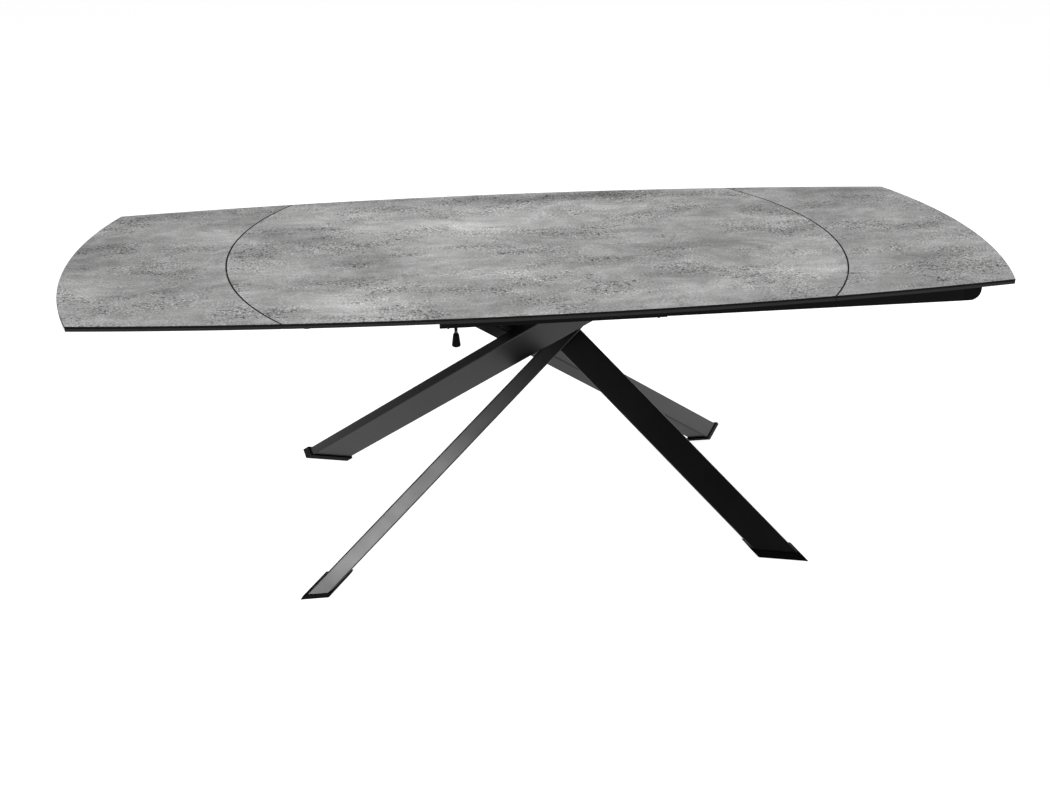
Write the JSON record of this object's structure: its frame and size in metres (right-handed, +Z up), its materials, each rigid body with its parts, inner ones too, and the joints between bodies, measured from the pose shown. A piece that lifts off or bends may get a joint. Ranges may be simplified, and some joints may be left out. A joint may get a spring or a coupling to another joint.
{
  "type": "extendable dining table",
  "caption": "Barrel-shaped dining table with a stone-look ceramic top, crossed tube legs and an end leaf on folding arms at each end that stows under the top.",
  "frame": {"origin": "on the floor under the middle of the top", "axes": "+Z up, +X along the table towards the right-hand leaf, -Y towards the front"},
  "size_m": [2.4, 0.9816, 0.777],
  "materials": {
    "grey_ceramic": "matt, streaked concrete look",
    "black_glass": "black back-painted tempered glass, polished edge",
    "leg_steel": "anthracite powder coat, satin",
    "black_steel": "black powder coat, fine texture",
    "bright_steel": "turned, lightly oiled",
    "black_plastic": "moulded, matt",
    "black_rubber": "toothed belt"
  },
  "bodies": {
    "base": {"leg_front_left": "leg_steel", "foot_cap_front_left": "black_plastic", "leg_front_right": "leg_steel", "foot_cap_front_right": "black_plastic", "leg_back_left": "leg_steel", "foot_cap_back_left": "black_plastic", "leg_back_right": "leg_steel", "foot_cap_back_right": "black_plastic", "mounting_plate": "black_steel", "side_plate_front": "black_steel", "side_plate_back": "black_steel", "cross_rail_left": "black_steel", "cross_rail_right": "black_steel", "centre_ceramic": "grey_ceramic", "centre_glass": "black_glass", "right_fixed_pulley": "bright_steel", "right_latch_bracket": "black_steel", "left_fixed_pulley": "bright_steel", "left_latch_bracket": "black_steel"},
    "right_inner_arms": {"right_inner_arm_drive": "black_steel", "right_inner_arm_idle": "black_steel", "right_torsion_shaft": "bright_steel", "right_lock_disc": "bright_steel", "right_elbow_pulley": "bright_steel", "right_inner_belt": "black_rubber"},
    "right_outer_arms": {"right_outer_arm_drive": "black_steel", "right_outer_arm_idle": "black_steel", "right_elbow_pin_drive": "bright_steel", "right_elbow_pin_idle": "bright_steel", "right_outer_belt": "black_rubber"},
    "right_leaf": {"right_leaf_glass": "black_glass", "right_leaf_ceramic": "grey_ceramic", "right_main_beam": "black_steel", "right_side_bar": "black_steel", "right_beam_end_cap": "black_plastic", "right_leaf_pin_drive": "bright_steel", "right_leaf_pin_idle": "bright_steel"},
    "right_latch": {"right_latch_plunger": "bright_steel", "right_latch_knob": "black_plastic"},
    "left_inner_arms": {"left_inner_arm_drive": "black_steel", "left_inner_arm_idle": "black_steel", "left_torsion_shaft": "bright_steel", "left_lock_disc": "bright_steel", "left_elbow_pulley": "bright_steel", "left_inner_belt": "black_rubber"},
    "left_outer_arms": {"left_outer_arm_drive": "black_steel", "left_outer_arm_idle": "black_steel", "left_elbow_pin_drive": "bright_steel", "left_elbow_pin_idle": "bright_steel", "left_outer_belt": "black_rubber"},
    "left_leaf": {"left_leaf_glass": "black_glass", "left_leaf_ceramic": "grey_ceramic", "left_main_beam": "black_steel", "left_side_bar": "black_steel", "left_beam_end_cap": "black_plastic", "left_leaf_pin_drive": "bright_steel", "left_leaf_pin_idle": "bright_steel"},
    "left_latch": {"left_latch_plunger": "bright_steel", "left_latch_knob": "black_plastic"}
  },
  "joints": [
    {"name": "right_arm_swing", "type": "hinge", "parent": "base", "child": "right_inner_arms", "pos_m": [0.262, 0, 0.72303], "axis": [0, 1, 0], "range_deg": [0, 172]},
    {"name": "right_elbow_fold", "type": "hinge", "parent": "right_inner_arms", "child": "right_outer_arms", "pos_m": [0.39356, 0, 0.751], "axis": [0, 1, 0], "range_deg": [-344, 0]},
    {"name": "right_leaf_level", "type": "hinge", "parent": "right_outer_arms", "child": "right_leaf", "pos_m": [0.49187, 0, 0.73011], "axis": [0, 1, 0], "range_deg": [0, 172]},
    {"name": "right_latch_pull", "type": "slide", "parent": "base", "child": "right_latch", "axis": [0, 0, -1], "range_m": [0, 0.008], "stiffness_N_per_m": 600, "springref_m": -0.006},
    {"name": "left_arm_swing", "type": "hinge", "parent": "base", "child": "left_inner_arms", "pos_m": [-0.262, 0, 0.72303], "axis": [0, -1, 0], "range_deg": [0, 172]},
    {"name": "left_elbow_fold", "type": "hinge", "parent": "left_inner_arms", "child": "left_outer_arms", "pos_m": [-0.39356, 0, 0.751], "axis": [0, -1, 0], "range_deg": [-344, 0]},
    {"name": "left_leaf_level", "type": "hinge", "parent": "left_outer_arms", "child": "left_leaf", "pos_m": [-0.49187, 0, 0.73011], "axis": [0, -1, 0], "range_deg": [0, 172]},
    {"name": "left_latch_pull", "type": "slide", "parent": "base", "child": "left_latch", "axis": [0, 0, -1], "range_m": [0, 0.008], "stiffness_N_per_m": 600, "springref_m": -0.006}
  ],
  "couplings": [
    {"joint": "right_elbow_fold", "follows": "right_arm_swing", "ratio": -2},
    {"joint": "right_leaf_level", "follows": "right_arm_swing", "ratio": 1},
    {"joint": "left_elbow_fold", "follows": "left_arm_swing", "ratio": -2},
    {"joint": "left_leaf_level", "follows": "left_arm_swing", "ratio": 1}
  ]
}
